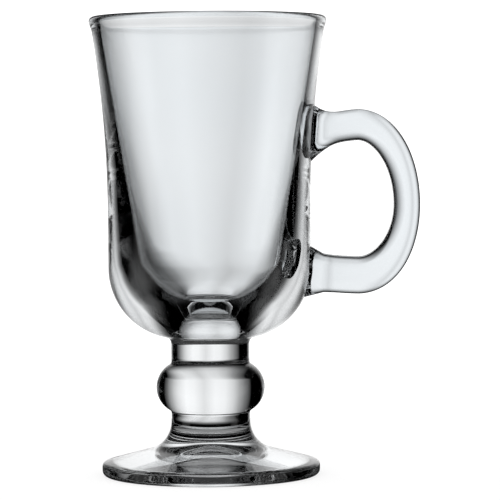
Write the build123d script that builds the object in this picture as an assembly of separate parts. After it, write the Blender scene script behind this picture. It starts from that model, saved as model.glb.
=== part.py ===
from build123d import *
import os
from math import atan2, cos, radians, sin, sqrt, tan

# An irish coffee glass mug: a bowl on a knopped stem and a broad foot, with a loop handle.
# Each of the four is a pressed gather of glass, and they are welded together while hot.
# The origin is on the mug's axis, on the plane that it stands on. The handle points along +X.
# All sizes are in millimetres and all angles in degrees.

# Foot, from its resting ring up to the flat weld under the stem
foot_radius = 35.1
foot_edge_height = 4.1
foot_slope = 15.0
foot_flare_radius = 9.7
foot_collar_height = 0.5
foot_upper_rounding = 1.4
foot_lower_rounding = 1.7
resting_ring_inset = 4.6
underside_slope = 14.2
underside_tip_radius = 17.0

# Stem, from the foot up: a short shank, the ball-shaped knop and the neck under the bowl
shank_radius = 12.7
shank_length = 2.65
knop_radius = 17.5
knop_curve_radius = 8.5
neck_radius = 12.65
neck_length = 6.5
crease_rounding = 0.8

# Bowl outside, from the neck up: fillet, round base, straight barrel, flare and turned-out lip
neck_fillet = 2.0
base_curve_radius = 22.8
barrel_radius = 32.65
barrel_length = 17.9
flare_height = 58.3
flare_top_radius = 37.3
lip_height = 4.6
lip_hollow = 5.0
rim_radius = 38.85
lip_rounding = 1.5

# Bowl inside, shaped by a tapered plunger: its tip is bevelled from a shoulder down to a small floor
rim_wall = 3.75
cavity_shoulder_radius = 22.1
cavity_shoulder_rise = 12.3
cavity_shoulder_rounding = 17.6
cavity_floor_radius = 7.6
cavity_floor_rounding = 3.9
floor_thickness = 7.9

# Handle: heights are above or below the bottom of the barrel, reaches are from the barrel's wall
handle_reach = 35.2
bow_setback = 15.15
bow_middle_height = 20.2
upper_arm_height = 45.6
upper_pad_height = 42.9
lower_arm_height = -2.7
lower_pad_height = -1.5
upper_arm_thickness = 10.1
bow_thickness = 8.5
lower_arm_thickness = 12.1
handle_depth = 11.0
handle_edge_rounding = 3.8
arm_bend = 1.5

# Sections of the handle, evenly spaced: steps along an arm and steps round the bow
arm_steps = 5
bow_steps = 18

# The handle swells into a pad where each arm is welded to the bowl
upper_pad_swell = 3.95
upper_pad_length = 8.6
lower_pad_swell = 2.2
lower_pad_length = 5.5
pad_side_swell = 1.6
pad_side_length = 3.0

# The foot's hollow underside: a cone from the inside of the flat resting ring up to a round tip
resting_ring_radius = foot_radius - resting_ring_inset
tip_edge_radius = underside_tip_radius * sin(radians(underside_slope))
tip_edge_height = (resting_ring_radius - tip_edge_radius) * tan(radians(underside_slope))
underside_height = tip_edge_height + underside_tip_radius * (1 - cos(radians(underside_slope)))

# Heights that follow from the stack of foot, stem and bowl
slope_rise = (foot_radius - shank_radius) * tan(radians(foot_slope))
flare_tangent = foot_flare_radius * tan(radians(45 - foot_slope / 2))
foot_weld_height = foot_edge_height + slope_rise + flare_tangent + foot_collar_height
knop_centre_radius = knop_radius - knop_curve_radius
knop_lower_half = sqrt(knop_curve_radius**2 - (shank_radius - knop_centre_radius) ** 2)
knop_upper_half = sqrt(knop_curve_radius**2 - (neck_radius - knop_centre_radius) ** 2)
lower_crease_height = foot_weld_height + shank_length
knop_height = lower_crease_height + knop_lower_half
upper_crease_height = knop_height + knop_upper_half
bowl_weld_height = upper_crease_height + neck_length

# Tangent points of the bowl's outside
base_centre_radius = barrel_radius - base_curve_radius
centre_distance = base_curve_radius + neck_fillet
centre_run = neck_radius + neck_fillet - base_centre_radius
centre_drop = sqrt(centre_distance**2 - centre_run**2)
barrel_bottom = bowl_weld_height + centre_drop
fillet_share = base_curve_radius / centre_distance
fillet_top = (base_centre_radius + centre_run * fillet_share, barrel_bottom - centre_drop * fillet_share)
barrel_top = barrel_bottom + barrel_length
flare_top = barrel_top + flare_height
rim_height = flare_top + lip_height
flare_out = flare_top_radius - barrel_radius
flare_radius = (flare_height**2 + flare_out**2) / (2 * flare_out)
cavity_floor_height = bowl_weld_height + floor_thickness
cavity_shoulder_height = cavity_floor_height + cavity_shoulder_rise

# Slopes of the bowl's inside: its wall above the shoulder and its bevel below
inside_run = rim_radius - rim_wall - cavity_shoulder_radius
inside_slope = atan2(rim_height - cavity_shoulder_height, inside_run)
bevel_run = cavity_shoulder_radius - cavity_floor_radius
bevel_slope = atan2(cavity_shoulder_rise, bevel_run)
bevel_length = sqrt(bevel_run**2 + cavity_shoulder_rise**2)

# How far out the bow starts, where the arms run level into it
bow_start = barrel_radius + bow_setback


def turned(profile):
    """Turn a half profile, drawn as radius and height, about the mug's axis."""
    return revolve(Plane.XZ * profile, Axis.Z)


def rounded_corners(profile, corners, rounding):
    """Round the corners of a half profile that lie at the given points."""
    chosen = [profile.vertices().sort_by_distance((*corner, 0))[0] for corner in corners]
    return fillet(chosen, rounding)


def bowl_outside():
    """The bowl's outer half outline from the neck's weld up to the rim."""
    neck_arc = TangentArc((neck_radius, bowl_weld_height), fillet_top, tangent=(0, 1))
    base_arc = TangentArc(fillet_top, (barrel_radius, barrel_bottom), tangent=neck_arc % 1)
    barrel = Line((barrel_radius, barrel_bottom), (barrel_radius, barrel_top))
    flare = TangentArc((barrel_radius, barrel_top), (flare_top_radius, flare_top), tangent=(0, 1))
    lip = Line((flare_top_radius, flare_top), (rim_radius, rim_height))
    return [neck_arc, base_arc, barrel, flare, lip]


def bowl_blank():
    """The bowl as a solid with no cavity, for cutting the handle's pads to its wall."""
    top = Polyline((rim_radius, rim_height), (0, rim_height), (0, bowl_weld_height))
    weld = Line((0, bowl_weld_height), (neck_radius, bowl_weld_height))
    return turned(make_face([*bowl_outside(), top, weld]))


def widest_lip_rounding():
    """The largest rounding for both edges of the rim that leaves a twentieth of its wall flat.

    On each side of a corner a rounding takes up its radius over the tangent of half the corner's angle.
    """
    lip_lean = atan2(rim_radius - flare_top_radius, lip_height)
    outer_share = 1 / tan(radians(45) - lip_lean / 2)
    inner_share = 1 / tan(radians(90) - inside_slope / 2)
    return 0.95 * rim_wall / (outer_share + inner_share)


def cavity_roundings():
    """The roundings of the cavity's shoulder and floor, held to what the floor and bevel have room for.

    On each side of a corner a rounding takes up its radius times the tangent of half the corner's turn.
    """
    floor_share = tan(bevel_slope / 2)
    shoulder_share = tan((inside_slope - bevel_slope) / 2)
    floor_rounding = min(cavity_floor_rounding, 0.95 * cavity_floor_radius / floor_share)
    bevel_left = bevel_length - floor_rounding * floor_share
    return [min(cavity_shoulder_rounding, 0.95 * bevel_left / shoulder_share), floor_rounding]


def make_bowl():
    """The drinking bowl, with its rounded lip and the tapered cavity."""
    outer_lip = (rim_radius, rim_height)
    inner_lip = (rim_radius - rim_wall, rim_height)
    shoulder = (cavity_shoulder_radius, cavity_shoulder_height)
    floor_corner = (cavity_floor_radius, cavity_floor_height)
    floor_middle = (0, cavity_floor_height)
    inside = FilletPolyline(
        outer_lip, inner_lip, shoulder, floor_corner, floor_middle, radius=[0, *cavity_roundings()]
    )
    weld = Polyline(floor_middle, (0, bowl_weld_height), (neck_radius, bowl_weld_height))
    profile = make_face([*bowl_outside(), inside, weld])
    profile = rounded_corners(profile, [(flare_top_radius, flare_top)], lip_hollow)
    profile = rounded_corners(profile, [outer_lip, inner_lip], min(lip_rounding, widest_lip_rounding()))
    return turned(profile)


def make_stem():
    """The stem: shank, knop and neck, with a small rounding in both creases of the knop."""
    lower_crease = (shank_radius, lower_crease_height)
    upper_crease = (neck_radius, upper_crease_height)
    shank = Polyline((0, foot_weld_height), (shank_radius, foot_weld_height), lower_crease)
    knop = ThreePointArc(lower_crease, (knop_radius, knop_height), upper_crease)
    neck = Polyline(upper_crease, (neck_radius, bowl_weld_height), (0, bowl_weld_height))
    middle = Line((0, bowl_weld_height), (0, foot_weld_height))
    profile = make_face([shank, knop, neck, middle])
    return turned(rounded_corners(profile, [lower_crease, upper_crease], crease_rounding))


def make_foot():
    """The foot: a sloping disc on a flat resting ring, with a conical hollow below."""
    lower_rounding = min(foot_lower_rounding, 0.7 * foot_edge_height)
    upper_rounding = min(foot_upper_rounding, 0.35 * foot_edge_height)
    outside = FilletPolyline(
        (resting_ring_radius, 0),
        (foot_radius, 0),
        (foot_radius, foot_edge_height),
        (shank_radius, foot_edge_height + slope_rise),
        (shank_radius, foot_weld_height),
        radius=[lower_rounding, upper_rounding, foot_flare_radius],
    )
    tip = TangentArc((0, underside_height), (tip_edge_radius, tip_edge_height), tangent=(1, 0))
    cone = Line((tip_edge_radius, tip_edge_height), (resting_ring_radius, 0))
    weld = Polyline((shank_radius, foot_weld_height), (0, foot_weld_height), (0, underside_height))
    return turned(make_face([tip, cone, outside, weld]))


def wall_radius(height):
    """The bowl's outer radius at a height between its round base and its rim."""
    if height < barrel_bottom:
        return base_centre_radius + sqrt(base_curve_radius**2 - (barrel_bottom - height) ** 2)
    if height < barrel_top:
        return barrel_radius
    return barrel_radius + flare_radius - sqrt(flare_radius**2 - (height - barrel_top) ** 2)


def pad_growth(distance, length):
    """How far a pad has swollen: 1 at the wall, falling with a square to 0 at the pad's length.

    Inside the wall the swelling levels off, after a fifth of the pad's length.
    """
    share = min(max(distance / length, -0.2), 1)
    return (1 - share) ** 2


def handle_section(place, run, thickness, depth, rounding):
    """A rounded section of the handle, square to its run at a place in the XZ plane."""
    plane = Plane(origin=(place[0], 0, place[1]), x_dir=(0, 1, 0), z_dir=(run[0], 0, run[1]))
    return plane * RectangleRounded(depth, thickness, min(rounding, 0.48 * min(depth, thickness)))


def arm_sections(pad_height, arm_height, thickness, swell, pad_length, outward):
    """Upright sections of one arm, from two steps inside the bowl's wall to one before the bow.

    The arm's middle line bends from the pad's height to the arm's height, where it runs level.
    """
    wall = wall_radius(barrel_bottom + pad_height)
    arm_length = bow_start - wall
    sections = []
    for step in range(-2, arm_steps):
        distance = arm_length * step / arm_steps
        to_go = 1 - distance / arm_length
        middle = arm_height - (arm_height - pad_height) * to_go**arm_bend
        growth = pad_growth(distance, pad_length)
        side_growth = pad_growth(distance, pad_side_length)
        section = handle_section(
            (wall + distance, barrel_bottom + middle),
            (outward, 0),
            thickness + 2 * swell * growth,
            handle_depth + 2 * pad_side_swell * side_growth,
            handle_edge_rounding + pad_side_swell * side_growth,
        )
        sections.append(section)
    return sections[::outward]


def bow_sections():
    """Sections round the bow: a quarter of an ellipse above its middle and a quarter of one below."""
    half_width = handle_reach - bow_setback - bow_thickness / 2
    sections = []
    for step in range(bow_steps + 1):
        angle = 90 - 180 * step / bow_steps
        across = cos(radians(angle))
        along = sin(radians(angle))
        if angle > 0:
            half_height = upper_arm_height - bow_middle_height
            arm_thickness = upper_arm_thickness
        else:
            half_height = bow_middle_height - lower_arm_height
            arm_thickness = lower_arm_thickness
        section = handle_section(
            (bow_start + half_width * across, barrel_bottom + bow_middle_height + half_height * along),
            (half_width * along, -half_height * across),
            bow_thickness + (arm_thickness - bow_thickness) * along**2,
            handle_depth,
            handle_edge_rounding,
        )
        sections.append(section)
    return sections


def make_handle():
    """The loop handle, with both pads cut to the bowl's wall."""
    upper_arm = arm_sections(
        upper_pad_height, upper_arm_height, upper_arm_thickness, upper_pad_swell, upper_pad_length, 1
    )
    lower_arm = arm_sections(
        lower_pad_height, lower_arm_height, lower_arm_thickness, lower_pad_swell, lower_pad_length, -1
    )
    return loft([*upper_arm, *bow_sections(), *lower_arm]) - bowl_blank()


pieces = {
    "bowl": make_bowl(),
    "stem": make_stem(),
    "foot": make_foot(),
    "handle": make_handle(),
}

os.makedirs("parts", exist_ok=True)
for name, piece in pieces.items():
    export_step(piece, f"parts/{name}.step")
    box = piece.bounding_box()
    print(name, "volume", round(piece.volume), "from", box.min, "to", box.max)
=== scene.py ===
import bpy
import numpy as np
from mathutils import Matrix, Vector


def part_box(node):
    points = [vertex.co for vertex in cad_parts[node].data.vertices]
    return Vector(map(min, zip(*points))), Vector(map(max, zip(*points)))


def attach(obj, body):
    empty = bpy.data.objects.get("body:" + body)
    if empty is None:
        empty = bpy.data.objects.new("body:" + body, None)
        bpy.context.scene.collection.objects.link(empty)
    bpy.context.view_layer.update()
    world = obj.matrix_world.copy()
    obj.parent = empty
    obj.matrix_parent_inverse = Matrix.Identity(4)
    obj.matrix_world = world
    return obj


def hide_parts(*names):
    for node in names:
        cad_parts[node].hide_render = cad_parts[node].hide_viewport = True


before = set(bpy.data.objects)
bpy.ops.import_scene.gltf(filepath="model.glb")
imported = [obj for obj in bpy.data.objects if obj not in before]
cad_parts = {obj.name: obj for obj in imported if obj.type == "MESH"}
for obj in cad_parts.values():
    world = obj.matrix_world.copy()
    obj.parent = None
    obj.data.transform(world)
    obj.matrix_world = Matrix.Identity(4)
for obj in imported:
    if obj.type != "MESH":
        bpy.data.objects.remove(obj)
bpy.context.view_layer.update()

# The foot is a pressed disc of clear glass with a sloping top that sweeps up into the stem.
# Its edge is rounded by the fire, its underside is a hollow cone, and it stands on a flat ring.
# The top ends in a flat disc that was welded hot to the stem, so nothing of that joint shows.
mm = 0.001
_, foot_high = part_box("foot")
foot_radius = foot_high.x
foot_top = foot_high.z
shank_radius = 12.7 * mm
foot_edge_height = 4.1 * mm
foot_slope = np.radians(15)
underside_slope = np.radians(14.2)
underside_tip_radius = 17.0 * mm
resting_ring_width = 4.6 * mm
resting_ring_radius = foot_radius - resting_ring_width
foot_lower_rounding = 1.7 * mm
foot_upper_rounding = 1.4 * mm
foot_flare_radius = 9.7 * mm
foot_softness = 0.3 * mm
foot_rings = 190
foot_around = 360


def round_arc(middle, radius, start, end, count):
    """Points on a circle: middle + radius (cos a, sin a), at even angles a from start to end."""
    angles = np.linspace(start, end, count)
    return np.asarray(middle) + radius * np.stack([np.cos(angles), np.sin(angles)], 1)


def rounded_run(corners, roundings, arc_points=40):
    """Points along straight lines whose inner corners are rounded by tangent arcs.

    At a corner whose lines meet at twice the angle h, an arc of radius r starts r / tan(h) away from it,
    and its centre lies r / sin(h) away on the halving line. The arc turns evenly from start to end.
    """
    corners = np.asarray(corners, float)
    parts = [corners[:1]]
    for before, corner, after, rounding in zip(corners, corners[1:], corners[2:], roundings):
        back = (before - corner) / np.linalg.norm(before - corner)
        ahead = (after - corner) / np.linalg.norm(after - corner)
        half = np.arccos(np.clip(back @ ahead, -1, 1)) / 2
        halving = (back + ahead) / np.linalg.norm(back + ahead)
        centre = corner + halving * rounding / np.sin(half)
        start = corner + back * rounding / np.tan(half) - centre
        end = corner + ahead * rounding / np.tan(half) - centre
        turn = np.pi - 2 * half
        share = np.linspace(0, 1, arc_points)[:, None]
        arc = (np.sin((1 - share) * turn) * start + np.sin(share * turn) * end) / np.sin(turn)
        parts.append(centre + arc)
    parts.append(corners[-1:])
    return np.vstack(parts)


def fire_polished(points, softness, count, fine_steps=12000, bell_reach=4, turning_weight=1.5):
    """The same run, softened along its length as the fire softens pressed glass, with count points.

    The run is read at even steps and averaged with a bell curve of the given width. Past both ends it goes
    on as its own point reflection, so that the ends stay. The points that come back stand closer together
    where the run turns: they are even in length plus a weight times the turning.
    """
    steps = np.linalg.norm(np.diff(points, axis=0), axis=1)
    along = np.concatenate([[0], np.cumsum(steps)])
    fine = np.linspace(0, along[-1], fine_steps)
    fine_step = fine[1] - fine[0]
    run = np.stack([np.interp(fine, along, column) for column in points.T], 1)
    reach = int(bell_reach * softness / fine_step) + 1
    bell = np.exp(-0.5 * (np.arange(-reach, reach + 1) * fine_step / softness) ** 2)
    bell /= bell.sum()
    before = 2 * run[0] - run[reach:0:-1]
    after = 2 * run[-1] - run[-2:-reach - 2:-1]
    padded = np.vstack([before, run, after])
    soft = np.stack([np.convolve(column, bell, "valid") for column in padded.T], 1)
    slopes = np.gradient(soft, axis=0)
    heading = np.unwrap(np.arctan2(slopes[:, 1], slopes[:, 0]))
    turning = np.concatenate([[0], np.cumsum(np.abs(np.diff(heading)))])
    density = np.linspace(0, 1, len(soft)) + turning_weight * turning / turning[-1]
    chosen = np.interp(np.linspace(0, density[-1], count), density, np.arange(len(soft)))
    return np.stack([np.interp(chosen, np.arange(len(soft)), column) for column in soft.T], 1)


slope_rise = (foot_radius - shank_radius) * np.tan(foot_slope)
tip_edge_radius = underside_tip_radius * np.sin(underside_slope)
tip_edge_height = (resting_ring_radius - tip_edge_radius) * np.tan(underside_slope)
tip_middle = tip_edge_height - underside_tip_radius * np.cos(underside_slope)
straight_up = np.pi / 2
tip_end = straight_up - underside_slope
underside = round_arc((0, tip_middle), underside_tip_radius, straight_up, tip_end, count=40)
foot_outside = rounded_run(
    [
        (resting_ring_radius, 0),
        (foot_radius, 0),
        (foot_radius, foot_edge_height),
        (shank_radius, foot_edge_height + slope_rise),
        (shank_radius, foot_top),
    ],
    [foot_lower_rounding, foot_upper_rounding, foot_flare_radius],
)
foot_run = fire_polished(np.vstack([underside, foot_outside]), foot_softness, foot_rings)


def new_material(name):
    """A material with an empty node tree and its output."""
    material = bpy.data.materials.new(name)
    material.use_nodes = True
    material.node_tree.nodes.clear()
    output = material.node_tree.nodes.new("ShaderNodeOutputMaterial")
    return material, material.node_tree, output


def hot_weld():
    """The inside of a weld: glass that has run together, so that light goes straight through."""
    material, tree, output = new_material("hot_weld")
    clear = tree.nodes.new("ShaderNodeBsdfTransparent")
    tree.links.new(clear.outputs[0], output.inputs["Surface"])
    return material


def node_math(tree, operation, *values):
    """One Math node in a tree, fed by sockets or plain numbers."""
    step = tree.nodes.new("ShaderNodeMath")
    step.operation = operation
    for socket, value in zip(step.inputs, values):
        if isinstance(value, bpy.types.NodeSocket):
            tree.links.new(value, socket)
        else:
            socket.default_value = float(value)
    return step.outputs[0]


def node_ramp(tree, value, stops):
    """A ColorRamp node that follows value, a share from 0 to 1, through stops of share and colour."""
    ramp = tree.nodes.new("ShaderNodeValToRGB")
    while len(ramp.color_ramp.elements) < len(stops):
        ramp.color_ramp.elements.new(1.0)
    for element, (share, _) in zip(ramp.color_ramp.elements, stops):
        element.position = share
    for element, (_, colour) in zip(ramp.color_ramp.elements, stops):
        element.color = (*colour, 1)
    tree.links.new(value, ramp.inputs["Fac"])
    return ramp.outputs["Color"]


def node_noise(tree, place, features, detail):
    """A noise texture with so many features to a metre, and so many octaves of finer ones on top."""
    noise = tree.nodes.new("ShaderNodeTexNoise")
    noise.inputs["Scale"].default_value = features
    noise.inputs["Detail"].default_value = detail
    tree.links.new(place, noise.inputs["Vector"])
    return noise.outputs[0]


def node_axes(tree):
    """The Object coordinates of a tree, and their X, Y and Z apart."""
    place = tree.nodes.new("ShaderNodeTexCoord").outputs["Object"]
    axes = tree.nodes.new("ShaderNodeSeparateXYZ")
    tree.links.new(place, axes.inputs[0])
    return place, axes.outputs


def fire_polish_group():
    """Fire-polished glass as a node group: its cool tint, its roughness and the height of its waves.

    Slow noise varies the tint, and the body tint that a piece gives multiplies it. Finer noise varies the
    roughness, and noise of about a finger's width is the height of the waves.
    """
    group = bpy.data.node_groups.new("fire_polish", "ShaderNodeTree")
    group.interface.new_socket("Body Tint", in_out="INPUT", socket_type="NodeSocketColor")
    group.interface.new_socket("Tint", in_out="OUTPUT", socket_type="NodeSocketColor")
    group.interface.new_socket("Roughness", in_out="OUTPUT", socket_type="NodeSocketFloat")
    group.interface.new_socket("Height", in_out="OUTPUT", socket_type="NodeSocketFloat")
    given = group.nodes.new("NodeGroupInput")
    result = group.nodes.new("NodeGroupOutput")
    place = group.nodes.new("ShaderNodeTexCoord").outputs["Object"]
    thin_tint = (0.968, 0.984, 0.995)
    thick_tint = (0.948, 0.970, 0.985)
    tint_noise = node_noise(group, place, features=28, detail=1)
    tint = group.nodes.new("ShaderNodeMix")
    tint.data_type = "RGBA"
    tint.blend_type = "MULTIPLY"
    tint.inputs["Factor"].default_value = 1.0
    group.links.new(node_ramp(group, tint_noise, [(0.3, thin_tint), (0.7, thick_tint)]), tint.inputs["A"])
    group.links.new(given.outputs["Body Tint"], tint.inputs["B"])
    smooth = (0.0, 0.0, 0.0)
    handled = (0.008, 0.008, 0.008)
    handling_noise = node_noise(group, place, features=160, detail=4)
    roughness = node_ramp(group, handling_noise, [(0.5, smooth), (0.8, handled)])
    waves = node_noise(group, place, features=110, detail=0)
    for socket, value in (("Tint", tint.outputs["Result"]), ("Roughness", roughness), ("Height", waves)):
        group.links.new(value, result.inputs[socket])
    return group


def clear_glass(name, body_tint=(1, 1, 1)):
    """Clear soda-lime glass with the fire polish of its surface, and the tint of its own body."""
    glass_index = 1.52
    wave_strength = 0.1
    wave_height = 0.1 * mm
    material, tree, output = new_material(name)
    glass = tree.nodes.new("ShaderNodeBsdfPrincipled")
    glass.inputs["IOR"].default_value = glass_index
    glass.inputs["Transmission Weight"].default_value = 1.0
    polish = tree.nodes.new("ShaderNodeGroup")
    polish.node_tree = fire_polish
    polish.inputs["Body Tint"].default_value = (*body_tint, 1)
    bump = tree.nodes.new("ShaderNodeBump")
    bump.inputs["Strength"].default_value = wave_strength
    bump.inputs["Distance"].default_value = wave_height
    tree.links.new(polish.outputs["Height"], bump.inputs["Height"])
    tree.links.new(polish.outputs["Tint"], glass.inputs["Base Color"])
    tree.links.new(polish.outputs["Roughness"], glass.inputs["Roughness"])
    tree.links.new(bump.outputs[0], glass.inputs["Normal"])
    tree.links.new(glass.outputs[0], output.inputs["Surface"])
    return material, tree, glass


fire_polish = fire_polish_group()
weld = hot_weld()
foot_glass, foot_tree, foot_shader = clear_glass("foot_glass")

# The resting ring is scuffed by tables: fine noise roughens it, less and less up to the worn height.
worn_height = 0.5 * mm
worn_roughness = 0.3
foot_place, foot_axes = node_axes(foot_tree)
height_share = node_math(foot_tree, "DIVIDE", foot_axes["Z"], worn_height)
worn_share = node_math(foot_tree, "MAXIMUM", node_math(foot_tree, "SUBTRACT", 1, height_share), 0)
scuff_noise = node_noise(foot_tree, foot_place, features=900, detail=3)
scuffs = node_math(foot_tree, "MULTIPLY", scuff_noise, worn_roughness)
worn = node_math(foot_tree, "MULTIPLY", worn_share, scuffs)
polished = foot_shader.inputs["Roughness"].links[0].from_socket
foot_tree.links.new(node_math(foot_tree, "MAXIMUM", polished, worn), foot_shader.inputs["Roughness"])


def glass_piece(name, vertices, glass_faces, weld_faces, materials):
    """A closed, smooth mesh whose weld faces take the second material."""
    sharp_angle = np.radians(40)
    mesh = bpy.data.meshes.new(name)
    mesh.from_pydata(vertices.tolist(), [], glass_faces + weld_faces)
    for material in materials:
        mesh.materials.append(material)
    kinds = np.zeros(len(glass_faces) + len(weld_faces), np.int32)
    kinds[len(glass_faces):] = 1
    mesh.polygons.foreach_set("material_index", kinds)
    mesh.shade_smooth()
    mesh.set_sharp_from_angle(angle=sharp_angle)
    mesh.validate()
    piece = bpy.data.objects.new(name, mesh)
    bpy.context.scene.collection.objects.link(piece)
    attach(piece, "root")
    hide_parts(name)


def off_axis(run):
    """Tells which points of a run of radii and heights stand clear of the Z axis."""
    return run[:, 0] > 1e-6 * mm


def turned(name, run, around, materials, ripple=0.0):
    """A run of radii and heights, from the bottom to the top of the glass, turned about the Z axis.

    The point at angle a is (radius cos a, radius sin a, height), where the radius is the run's plus the
    ripple. An end of the run that lies off the axis is closed by a flat weld disc, and one on the axis by a
    fan of glass.
    """
    rings = run[off_axis(run)]
    angles = np.linspace(0, 2 * np.pi, around, endpoint=False)
    radii = rings[:, :1] + ripple
    grid = np.empty((len(rings), around, 3))
    grid[..., 0] = radii * np.cos(angles)
    grid[..., 1] = radii * np.sin(angles)
    grid[..., 2] = rings[:, 1:]
    lower_pole = [[0, 0, run[0, 1]]]
    upper_pole = [[0, 0, run[-1, 1]]]
    vertices = np.vstack([grid.reshape(-1, 3), lower_pole, upper_pole])
    number = np.arange(len(rings) * around).reshape(len(rings), around)
    beside = np.roll(number, -1, axis=1)
    quads = np.stack([number[:-1], beside[:-1], beside[1:], number[1:]], -1).reshape(-1, 4)
    lower_fan = np.stack([np.full(around, number.size), beside[0], number[0]], -1)
    upper_fan = np.stack([np.full(around, number.size + 1), number[-1], beside[-1]], -1)
    glass = quads.tolist()
    welds = []
    for fan, welded in ((lower_fan, off_axis(run)[0]), (upper_fan, off_axis(run)[-1])):
        (welds if welded else glass).extend(fan.tolist())
    glass_piece(name, vertices, glass, welds, materials)


turned("foot", foot_run, foot_around, [foot_glass, weld])

# The stem is one short solid gather of glass: a shank, a ball-shaped knop pressed into it, and a neck.
# The knop meets shank and neck in creases that the fire has softened.
# Both ends are flat discs, welded hot to the foot and to the bowl.
stem_glass, _, _ = clear_glass("stem_glass")
stem_low, stem_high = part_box("stem")
knop_radius = stem_high.x
knop_curve_radius = 8.5 * mm
neck_radius = 12.65 * mm
shank_length = 2.65 * mm
crease_softness = 0.45 * mm
stem_rings = 150
stem_around = 320
knop_middle = knop_radius - knop_curve_radius
knop_start = -np.arccos((shank_radius - knop_middle) / knop_curve_radius)
knop_end = np.arccos((neck_radius - knop_middle) / knop_curve_radius)
knop_height = stem_low.z + shank_length - knop_curve_radius * np.sin(knop_start)
knop = round_arc((knop_middle, knop_height), knop_curve_radius, knop_start, knop_end, count=200)
stem_run = np.vstack([[(shank_radius, stem_low.z)], knop, [(neck_radius, stem_high.z)]])
turned("stem", fire_polished(stem_run, crease_softness, stem_rings), stem_around, [stem_glass, weld])

# The bowl is pressed in a mould with a tapered plunger: a round thick base, a straight barrel and a flare.
# The lip turns out a little and is rounded by the fire.
# Its bottom is welded to the stem, and two patches of its wall are welded to the pads of the handle.
bowl_glass, bowl_tree, bowl_shader = clear_glass("bowl_glass")
bowl_low, bowl_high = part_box("bowl")
bowl_weld = bowl_low.z
rim_height = bowl_high.z
neck_fillet = 2.0 * mm
base_curve_radius = 22.8 * mm
barrel_radius = 32.65 * mm
barrel_length = 17.9 * mm
flare_height = 58.3 * mm
flare_top_radius = 37.3 * mm
rim_radius = 38.85 * mm
rim_wall = 3.75 * mm
floor_thickness = 7.9 * mm
cavity_floor_radius = 7.6 * mm
cavity_floor_rounding = 3.9 * mm
cavity_shoulder_radius = 22.1 * mm
cavity_shoulder_rise = 12.3 * mm
cavity_shoulder_rounding = 17.6 * mm
lip_hollow = 5.0 * mm
lip_rounding = 1.5 * mm
bowl_softness = 0.4 * mm
bowl_rings = 170
bowl_around = 560
base_middle = barrel_radius - base_curve_radius
fillet_middle = neck_radius + neck_fillet
base_drop = np.sqrt((base_curve_radius + neck_fillet) ** 2 - (fillet_middle - base_middle) ** 2)
barrel_bottom = bowl_weld + base_drop
barrel_top = barrel_bottom + barrel_length
flare_top = barrel_top + flare_height
flare_out = flare_top_radius - barrel_radius
flare_radius = (flare_height**2 + flare_out**2) / (2 * flare_out)
fillet_turn = np.arctan2(base_drop, fillet_middle - base_middle)
cavity_floor = bowl_weld + floor_thickness
neck_arc = round_arc((fillet_middle, bowl_weld), neck_fillet, np.pi, np.pi - fillet_turn, count=40)
base_arc = round_arc((base_middle, barrel_bottom), base_curve_radius, -fillet_turn, 0, count=240)
flare_heights = np.linspace(0, flare_height, num=200)
flare_radii = barrel_radius + flare_radius - np.sqrt(flare_radius**2 - flare_heights**2)
flare = np.stack([flare_radii, barrel_top + flare_heights], 1)
lip_and_inside = rounded_run(
    [
        flare[-2],
        (flare_top_radius, flare_top),
        (rim_radius, rim_height),
        (rim_radius - rim_wall, rim_height),
        (cavity_shoulder_radius, cavity_floor + cavity_shoulder_rise),
        (cavity_floor_radius, cavity_floor),
        (0, cavity_floor),
    ],
    [lip_hollow, lip_rounding, lip_rounding, cavity_shoulder_rounding, cavity_floor_rounding],
)
# The hollow under the lip takes the place of the last few points of the flare.
hollow_points = 6
bowl_run = np.vstack([neck_arc[:-1], base_arc, flare[:-hollow_points], lip_and_inside[1:]])
bowl_run = fire_polished(bowl_run, bowl_softness, bowl_rings)
outside_wall = bowl_run[: np.argmax(bowl_run[:, 1])]


def plunger_waves(rings, first, around):
    """Faint waves that the plunger leaves inside the bowl, as changes of radius towards the axis.

    They are a sum of cos(k a + m z) - 1 over a few counts k round the axis and climbs m to the metre. They
    fade in from the first ring inside the lip, and out towards the middle of the floor.
    """
    wave_depth = 0.002 * mm
    fade_rings = 25
    calm_radius = 12 * mm
    angles = np.linspace(0, 2 * np.pi, around, endpoint=False)
    waves = np.zeros((len(rings), around))
    for count, climb in ((3, 20), (5, -30), (8, 15)):
        waves += np.cos(count * angles + climb * rings[:, 1:]) - 1
    fade_in = np.clip((np.arange(len(rings)) - first) / fade_rings, 0, 1)
    fade_out = np.clip(rings[:, 0] / calm_radius, 0, 1) ** 2
    return wave_depth * waves * (fade_in * fade_out)[:, None]


inside_waves = plunger_waves(bowl_run[off_axis(bowl_run)], len(outside_wall), bowl_around)
turned("bowl", bowl_run, bowl_around, [bowl_glass, weld], inside_waves)

# The handle is a loop of glass with flat sides and rounded edges, pulled and bent while soft.
# Each arm swells into a pad, pressed hot against the bowl's wall. The pad's end lies there as a weld.
# Its glass has a slightly deeper tint than the other pieces. Heights count from the barrel's bottom.
deep_tint = (0.89, 0.91, 0.925)
handle_glass, _, _ = clear_glass("handle_glass", deep_tint)
handle_depth = 11.0 * mm
handle_edge_rounding = 3.8 * mm
handle_reach = 35.2 * mm
handle_softness = 0.9 * mm
handle_rings = 300
bow_setback = 15.15 * mm
bow_thickness = 8.5 * mm
bow_middle_height = 20.2 * mm
upper_arm = {
    "height": 45.6 * mm,
    "pad height": 42.9 * mm,
    "thickness": 10.1 * mm,
    "pad swell": 3.95 * mm,
    "pad length": 8.6 * mm,
}
lower_arm = {
    "height": -2.7 * mm,
    "pad height": -1.5 * mm,
    "thickness": 12.1 * mm,
    "pad swell": 2.2 * mm,
    "pad length": 5.5 * mm,
}
pad_side_swell = 1.6 * mm
pad_side_length = 3.0 * mm
arm_bend = 1.5
bow_start = barrel_radius + bow_setback


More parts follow.
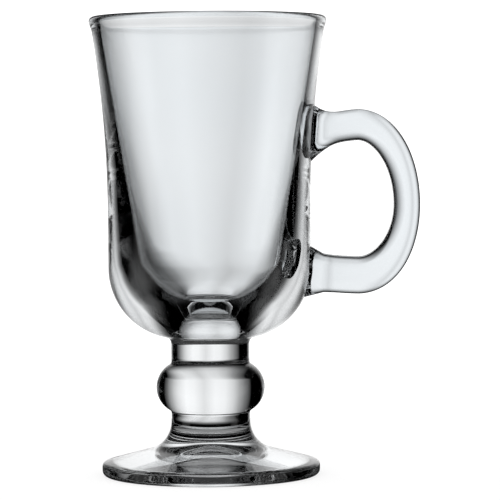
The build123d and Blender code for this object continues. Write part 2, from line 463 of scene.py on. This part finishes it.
def wall_radius(height):
    """The radius of the bowl's outside at a height."""
    return np.interp(height, outside_wall[:, 1], outside_wall[:, 0])


def arm_run(arm, count=150):
    """One arm from the wall out to the bow: rows of x, z, half thickness, half depth, edge rounding and axis.

    With d the distance from the wall and L the arm's length, the middle line leaves the arm's height for the
    pad's by 1 - d / L to the power of the bend. The pad swells by the square of 1 - d / pad length, above
    and below, and by its own length at the sides.
    """
    wall = wall_radius(barrel_bottom + arm["pad height"])
    distance = np.linspace(0, bow_start - wall, count)
    to_go = 1 - distance / distance[-1]
    middle = arm["height"] - (arm["height"] - arm["pad height"]) * to_go**arm_bend
    growth = np.clip(1 - distance / arm["pad length"], 0, 1) ** 2
    side_growth = np.clip(1 - distance / pad_side_length, 0, 1) ** 2
    half_thickness = arm["thickness"] / 2 + arm["pad swell"] * growth
    half_depth = handle_depth / 2 + pad_side_swell * side_growth
    rounding = handle_edge_rounding + pad_side_swell * side_growth
    upright = np.tile([0, 1], (count, 1))
    return np.column_stack(
        [wall + distance, barrel_bottom + middle, half_thickness, half_depth, rounding, upright]
    )


def bow_run(count=400):
    """The bow from the upper arm to the lower: a quarter of an ellipse above its middle and one below.

    At angle a the middle line is (width cos a, height sin a). The thickness goes from the bow's to the arm's
    by the square of sin a, and its axis is the ellipse's normal (height cos a, width sin a).
    """
    turn = np.radians(np.linspace(90, -90, count))[1:-1]
    across = np.cos(turn)
    along = np.sin(turn)
    upper = turn > 0
    width = handle_reach - bow_setback - bow_thickness / 2
    height = np.where(upper, upper_arm["height"] - bow_middle_height, bow_middle_height - lower_arm["height"])
    arm_thickness = np.where(upper, upper_arm["thickness"], lower_arm["thickness"])
    half_thickness = (bow_thickness + (arm_thickness - bow_thickness) * along**2) / 2
    normal = np.stack([height * across, width * along], 1)
    normal /= np.linalg.norm(normal, axis=1, keepdims=True)
    x = bow_start + width * across
    z = barrel_bottom + bow_middle_height + height * along
    half_depth = np.full(len(turn), handle_depth / 2)
    rounding = np.full(len(turn), handle_edge_rounding)
    return np.column_stack([x, z, half_thickness, half_depth, rounding, normal])


def rounded_sections(half_depth, half_thickness, rounding, corner_points=17, flat_points=9):
    """A rounded rectangle for each place along the run, as offsets in depth and in thickness.

    Each corner is a quarter arc centred one rounding inside both faces, and each flat is cut evenly.
    """
    quarter = np.radians(np.linspace(0, 90, corner_points))
    flat = np.linspace(0, 1, flat_points + 2)[1:-1]
    corners = []
    for number, (side, face) in enumerate(((1, 1), (-1, 1), (-1, -1), (1, -1))):
        turn = quarter + number * np.pi / 2
        across = side * (half_depth - rounding) + rounding * np.cos(turn)
        outward = face * (half_thickness - rounding) + rounding * np.sin(turn)
        corners.append(np.stack([across, outward], -1))
    parts = []
    for corner, following in zip(corners, corners[1:] + corners[:1]):
        start = corner[:, -1:]
        end = following[:, :1]
        parts += [corner, start + (end - start) * flat[:, None]]
    return np.moveaxis(np.concatenate(parts, 1), -1, 0)


def looped(name, run, materials, cap_rings=6, wall_hold=5 * mm):
    """The handle's rounded section carried along its run, with both ends laid on the bowl's wall.

    Within the wall's hold of an end, the section's x is drawn to the wall's sqrt(radius^2 - y^2) by the
    smooth step 3 s^2 - 2 s^3. Each end is closed by rings that shrink to its centre along the wall.
    """
    x, z, half_thickness, half_depth, rounding, normal_x, normal_z = run.T[:, :, None]
    across, outward = rounded_sections(half_depth, half_thickness, rounding)
    section_points = across.shape[1]
    rings = np.empty((len(run), section_points, 3))
    rings[..., 0] = x + normal_x * outward
    rings[..., 1] = across
    rings[..., 2] = z + normal_z * outward
    wall = np.sqrt(wall_radius(rings[..., 2]) ** 2 - rings[..., 1] ** 2)
    nominal = np.where(np.arange(len(run))[:, None] < len(run) // 2, x[0], x[-1])
    hold = np.clip(1 - (x - nominal) / wall_hold, 0, 1)
    hold = hold**2 * (3 - 2 * hold)
    rings[..., 0] += hold * (wall - nominal)
    caps = []
    for end in (0, -1):
        centre = np.array([[0, 0, z[end, 0]]])
        shrink = np.linspace(1, 0, cap_rings + 1)[1:-1, None, None]
        cap = centre + shrink * (rings[end] - centre)
        for part in (cap.reshape(-1, 3), centre):
            part[:, 0] = np.sqrt(wall_radius(part[:, 2]) ** 2 - part[:, 1] ** 2)
        caps.append((cap, centre))
    (upper_cap, upper_centre), (lower_cap, lower_centre) = caps
    grid = np.concatenate([upper_cap[::-1], rings, lower_cap])
    vertices = np.vstack([grid.reshape(-1, 3), upper_centre, lower_centre])
    number = np.arange(len(grid) * section_points).reshape(len(grid), section_points)
    beside = np.roll(number, -1, axis=1)
    quads = np.stack([number[:-1], beside[:-1], beside[1:], number[1:]], -1)
    first = cap_rings - 1
    last = first + len(run) - 1
    glass = quads[first:last].reshape(-1, 4).tolist()
    welds = quads[:first].reshape(-1, 4).tolist() + quads[last:].reshape(-1, 4).tolist()
    upper_fan = np.stack([np.full(section_points, number.size), beside[0], number[0]], -1)
    lower_fan = np.stack([np.full(section_points, number.size + 1), number[-1], beside[-1]], -1)
    welds += upper_fan.tolist() + lower_fan.tolist()
    glass_piece(name, vertices, glass, welds, materials)


# The lower arm runs back to the wall, so its rows are turned round and its axis points down.
lower_run = arm_run(lower_arm)[::-1] * [1, 1, 1, 1, 1, 1, -1]
handle_run = np.vstack([arm_run(upper_arm), bow_run(), lower_run])
looped("handle", fire_polished(handle_run, handle_softness, handle_rings), [handle_glass, weld])

# The handle's welds are two patches of the bowl's wall that ran together with the pads while hot.
# The glass has no surface of its own there, so the bowl's material leaves the patches out.
outer_wall_depth = 2.0 * mm


def weld_patch_group():
    """The patch of the bowl's wall under a pad, as a node group: 1 inside the pad's rounded outline.

    With q the offsets |y| and |z - height| less the outline's halves without their rounding, and not below
    0, the patch is where the length of q is less than the rounding, x is positive and the distance from the
    axis is past the least radius.
    """
    group = bpy.data.node_groups.new("weld_patch", "ShaderNodeTree")
    for socket in ("Height", "Half Height", "Least Radius"):
        group.interface.new_socket(socket, in_out="INPUT", socket_type="NodeSocketFloat")
    group.interface.new_socket("Patch", in_out="OUTPUT", socket_type="NodeSocketFloat")
    given = group.nodes.new("NodeGroupInput").outputs
    result = group.nodes.new("NodeGroupOutput")
    _, axes = node_axes(group)
    rounding = handle_edge_rounding + pad_side_swell
    aside = node_math(group, "ABSOLUTE", axes["Y"])
    aside = node_math(group, "SUBTRACT", aside, handle_depth / 2 + pad_side_swell - rounding)
    above = node_math(group, "ABSOLUTE", node_math(group, "SUBTRACT", axes["Z"], given["Height"]))
    above = node_math(group, "ADD", node_math(group, "SUBTRACT", above, given["Half Height"]), rounding)
    offset_squares = []
    for offset in (aside, above):
        offset = node_math(group, "MAXIMUM", offset, 0)
        offset_squares.append(node_math(group, "MULTIPLY", offset, offset))
    inside = node_math(group, "LESS_THAN", node_math(group, "ADD", *offset_squares), rounding**2)
    axis_squares = [node_math(group, "POWER", axes[name], 2) for name in ("X", "Y")]
    from_axis = node_math(group, "SQRT", node_math(group, "ADD", *axis_squares))
    outer = node_math(group, "GREATER_THAN", from_axis, given["Least Radius"])
    outer = node_math(group, "MULTIPLY", outer, node_math(group, "GREATER_THAN", axes["X"], 0))
    group.links.new(node_math(group, "MULTIPLY", inside, outer), result.inputs["Patch"])
    return group


weld_patch = weld_patch_group()
patches = []
for arm in (upper_arm, lower_arm):
    pad_middle = barrel_bottom + arm["pad height"]
    half_height = arm["thickness"] / 2 + arm["pad swell"]
    patch = bowl_tree.nodes.new("ShaderNodeGroup")
    patch.node_tree = weld_patch
    patch.inputs["Height"].default_value = pad_middle
    patch.inputs["Half Height"].default_value = half_height
    patch.inputs["Least Radius"].default_value = wall_radius(pad_middle - half_height) - outer_wall_depth
    patches.append(patch.outputs["Patch"])
under_pads = node_math(bowl_tree, "MAXIMUM", *patches)
bowl_tree.links.new(node_math(bowl_tree, "SUBTRACT", 1, under_pads), bowl_shader.inputs["Alpha"])

# The floor is a plain round sheet of pale paper that the mug stands on.
# Most of its light is its own, so the mug's shadow on it is faint, and the glass doesn't show it.
floor_radius = 180 * mm
floor_points = 128
floor_white = (0.9, 0.9, 0.9, 1)
floor_own_light = 0.75
floor_ring = np.zeros((floor_points, 3))
floor_ring[:, :2] = round_arc((0, 0), floor_radius, 0, 2 * np.pi, floor_points + 1)[:-1]
floor_mesh = bpy.data.meshes.new("floor")
floor_mesh.from_pydata(floor_ring.tolist(), [], [list(range(floor_points))])
floor = bpy.data.objects.new("floor", floor_mesh)
bpy.context.scene.collection.objects.link(floor)
floor.visible_transmission = False
floor.visible_glossy = False
floor_paper, floor_tree, floor_output = new_material("floor_paper")
floor_mesh.materials.append(floor_paper)
paper = floor_tree.nodes.new("ShaderNodeBsdfDiffuse")
paper.inputs["Color"].default_value = floor_white
own_light = floor_tree.nodes.new("ShaderNodeEmission")
own_light.inputs["Strength"].default_value = 1.0
floor_mix = floor_tree.nodes.new("ShaderNodeMixShader")
floor_mix.inputs["Fac"].default_value = floor_own_light
floor_tree.links.new(paper.outputs[0], floor_mix.inputs[1])
floor_tree.links.new(own_light.outputs[0], floor_mix.inputs[2])
floor_tree.links.new(floor_mix.outputs[0], floor_output.inputs["Surface"])

# The studio's light is a soft panel behind the glass, which fades to dark flags at both sides.
# The table in front of the panel is lit by it, and the foot gathers a spot of light behind the stem.
# Panel, table and spot show only in the glass. Their stops are places in millimetres and levels there.
panel_distance = 300 * mm
panel_middle = 20 * mm
panel_peak = 1.2
panel_stops = [
    (-220, 0.0), (-160, 0.2), (-125, 0.4), (-90, 0.75), (-55, 1.0), (-20, 1.05), (18, 0.85),
    (55, 1.05), (90, 1.1), (135, 0.85), (190, 0.45), (250, 0.15), (315, 0.0),
]
panel_rise_stops = [(0, 0.95), (60, 1.0), (150, 1.0), (170, 0.95), (215, 0.6), (260, 0.3), (330, 0.0)]
table_stops = [(75, 0.0), (100, 0.25), (120, 0.6), (140, 0.75), (210, 0.8), (300, 0.95)]
table_height = -0.5 * mm
table_narrowing = 110 * mm
spot_stops = [(0, 0.25), (9, 0.25), (15, 0.0)]
spot_middle = 22 * mm


def level_ramp(tree, value, stops, unit=1.0, peak=1.0):
    """A brightness, as a share of the peak, that follows a value through stops of place and level.

    The places are in the given unit, and past the first and last of them the brightness stays as it is there.
    """
    low = stops[0][0]
    width = stops[-1][0] - low
    share = node_math(tree, "DIVIDE", node_math(tree, "SUBTRACT", value, low * unit), width * unit)
    return node_ramp(tree, share, [((place - low) / width, (level / peak,) * 3) for place, level in stops])


def glowing_sheet(name, corners):
    """A flat sheet that only the glass sees. It lets light through and adds a glow, to be fed."""
    mesh = bpy.data.meshes.new(name)
    mesh.from_pydata(corners, [], [(0, 1, 2, 3)])
    sheet = bpy.data.objects.new(name, mesh)
    bpy.context.scene.collection.objects.link(sheet)
    sheet.visible_camera = False
    sheet.visible_diffuse = False
    sheet.visible_shadow = False
    material, tree, output = new_material(name)
    mesh.materials.append(material)
    glow = tree.nodes.new("ShaderNodeEmission")
    clear = tree.nodes.new("ShaderNodeBsdfTransparent")
    both = tree.nodes.new("ShaderNodeAddShader")
    tree.links.new(glow.outputs[0], both.inputs[0])
    tree.links.new(clear.outputs[0], both.inputs[1])
    tree.links.new(both.outputs[0], output.inputs["Surface"])
    _, axes = node_axes(tree)
    return tree, glow.inputs["Strength"], axes


def sheet_corners(low, high):
    """The four corners of a sheet that is level, or upright along X, between two opposite ones."""
    return [low, (high[0], low[1], low[2]), high, (low[0], high[1], high[2])]


def crossed_ramps(tree, strength, across, along):
    """Feeds a sheet's glow with two brightnesses multiplied, each of which is a share of the panel's peak."""
    product = node_math(tree, "MULTIPLY", across, along)
    tree.links.new(node_math(tree, "MULTIPLY", product, panel_peak**2), strength)


panel_left = panel_stops[0][0] * mm
panel_right = panel_stops[-1][0] * mm
panel_top = panel_rise_stops[-1][0] * mm
panel_tree, panel_strength, panel_axes = glowing_sheet(
    "light_panel",
    sheet_corners((panel_left, panel_distance, table_height), (panel_right, panel_distance, panel_top)),
)
panel_across = level_ramp(panel_tree, panel_axes["X"], panel_stops, mm, panel_peak)
panel_up = level_ramp(panel_tree, panel_axes["Z"], panel_rise_stops, mm, panel_peak)
crossed_ramps(panel_tree, panel_strength, panel_across, panel_up)

# The panel's light narrows on the table with the distance from the panel.
table_front = table_stops[0][0] * mm
table_tree, table_strength, table_axes = glowing_sheet(
    "lit_table",
    sheet_corners((panel_left, table_front, table_height), (panel_right, panel_distance, table_height)),
)
to_panel = node_math(table_tree, "SUBTRACT", panel_distance, table_axes["Y"])
widening = node_math(table_tree, "ADD", node_math(table_tree, "DIVIDE", to_panel, table_narrowing), 1)
from_middle = node_math(table_tree, "SUBTRACT", table_axes["X"], panel_middle)
spread = node_math(table_tree, "MULTIPLY", from_middle, widening)
panel_place = node_math(table_tree, "ADD", spread, panel_middle)
table_across = level_ramp(table_tree, panel_place, panel_stops, mm, panel_peak)
table_along = level_ramp(table_tree, table_axes["Y"], table_stops, mm, panel_peak)
crossed_ramps(table_tree, table_strength, table_across, table_along)

spot_reach = spot_stops[-1][0] * mm
spot_tree, spot_strength, spot_axes = glowing_sheet(
    "gathered_light",
    sheet_corners(
        (-spot_reach, spot_middle - spot_reach, table_height),
        (spot_reach, spot_middle + spot_reach, table_height),
    ),
)
spot_along = node_math(spot_tree, "SUBTRACT", spot_axes["Y"], spot_middle)
spot_squares = [node_math(spot_tree, "POWER", offset, 2) for offset in (spot_along, spot_axes["X"])]
from_spot = node_math(spot_tree, "SQRT", node_math(spot_tree, "ADD", *spot_squares))
spot_level = level_ramp(spot_tree, from_spot, spot_stops, mm, panel_peak)
spot_tree.links.new(node_math(spot_tree, "MULTIPLY", spot_level, panel_peak), spot_strength)

# The rest of the room is pale, and dark flags stand between it and the panel.
# Light that is reflected inside the glass finds only two small windows at the sides and a dim ceiling
# besides the panel, so the thick parts of the glass keep their dark lines. Stops are in degrees.
left_window_stops = [(-122, 0.0), (-112, 0.5), (-94, 0.5), (-84, 0.0)]
right_window_stops = [(90, 0.0), (100, 0.5), (112, 0.5), (122, 0.0)]
window_height_stops = [(-30, 0.0), (-15, 1.0), (5, 1.0), (15, 0.0)]
ceiling_stops = [(40, 0.0), (50, 0.04), (90, 0.08)]
pale_wall_stops = [(-88, 0.95), (-65, 0.0), (65, 0.0), (88, 0.95)]
pale_ground_stops = [(-75, 0.0), (-67, 0.45), (-54, 0.45), (-44, 0.0)]
backdrop_level = 1.4
scene = bpy.context.scene
world = bpy.data.worlds.new("studio")
scene.world = world
world.use_nodes = True
world.cycles.sampling_method = "NONE"
sky = world.node_tree
sky.nodes.clear()
way = sky.nodes.new("ShaderNodeSeparateXYZ")
sky.links.new(sky.nodes.new("ShaderNodeTexCoord").outputs["Generated"], way.inputs[0])
bearing = node_math(sky, "DEGREES", node_math(sky, "ARCTAN2", way.outputs["X"], way.outputs["Y"]))
climb = node_math(sky, "DEGREES", node_math(sky, "ARCSINE", way.outputs["Z"]))
window_sides = [level_ramp(sky, bearing, stops) for stops in (left_window_stops, right_window_stops)]
window_height = level_ramp(sky, climb, window_height_stops)
windows = node_math(sky, "MULTIPLY", node_math(sky, "MAXIMUM", *window_sides), window_height)
reflected = node_math(sky, "MAXIMUM", windows, level_ramp(sky, climb, ceiling_stops))
pale_walls = level_ramp(sky, bearing, pale_wall_stops)
pale_room = node_math(sky, "MAXIMUM", pale_walls, level_ramp(sky, climb, pale_ground_stops))
path = sky.nodes.new("ShaderNodeLightPath").outputs
not_reflected = node_math(sky, "LESS_THAN", path["Glossy Depth"], 1)
room = node_math(sky, "MAXIMUM", reflected, node_math(sky, "MULTIPLY", pale_room, not_reflected))
open_view = node_math(sky, "MAXIMUM", path["Is Camera Ray"], path["Is Diffuse Ray"])
sky_level = node_math(sky, "MAXIMUM", room, node_math(sky, "MULTIPLY", open_view, backdrop_level))
background = sky.nodes.new("ShaderNodeBackground")
background.inputs["Color"].default_value = (1, 1, 1, 1)
sky.links.new(sky_level, background.inputs["Strength"])
sky_output = sky.nodes.new("ShaderNodeOutputWorld")
sky.links.new(background.outputs[0], sky_output.inputs["Surface"])

# Levels are shown as they are, and light is followed through the many walls of clear glass.
scene.view_settings.view_transform = "Standard"
scene.cycles.max_bounces = 32
scene.cycles.glossy_bounces = 24
scene.cycles.transmission_bounces = 32
scene.cycles.transparent_max_bounces = 48

# The camera stands about 0.9 m away, a little below the rim, and looks slightly down.
# Its long lens keeps the mug nearly free of perspective, and it is rolled by less than half a degree.
camera_distance = 880 * mm
camera_pitch = np.radians(2.26)
camera_roll = np.radians(0.45)
camera_data = bpy.data.cameras.new("camera")
camera_data.sensor_width = 36
camera_data.lens = 196.7
camera_data.clip_start = 0.1
camera_data.clip_end = 20
camera = bpy.data.objects.new("camera", camera_data)
scene.collection.objects.link(camera)
scene.camera = camera
aim = Vector((13.04 * mm, 0, 72.38 * mm))
towards_camera = Vector((0, -np.cos(camera_pitch), np.sin(camera_pitch)))
level_view = (-towards_camera).to_track_quat("-Z", "Y").to_matrix().to_4x4()
camera_place = Matrix.Translation(aim + towards_camera * camera_distance)
camera.matrix_world = camera_place @ level_view @ Matrix.Rotation(-camera_roll, 4, "Z")
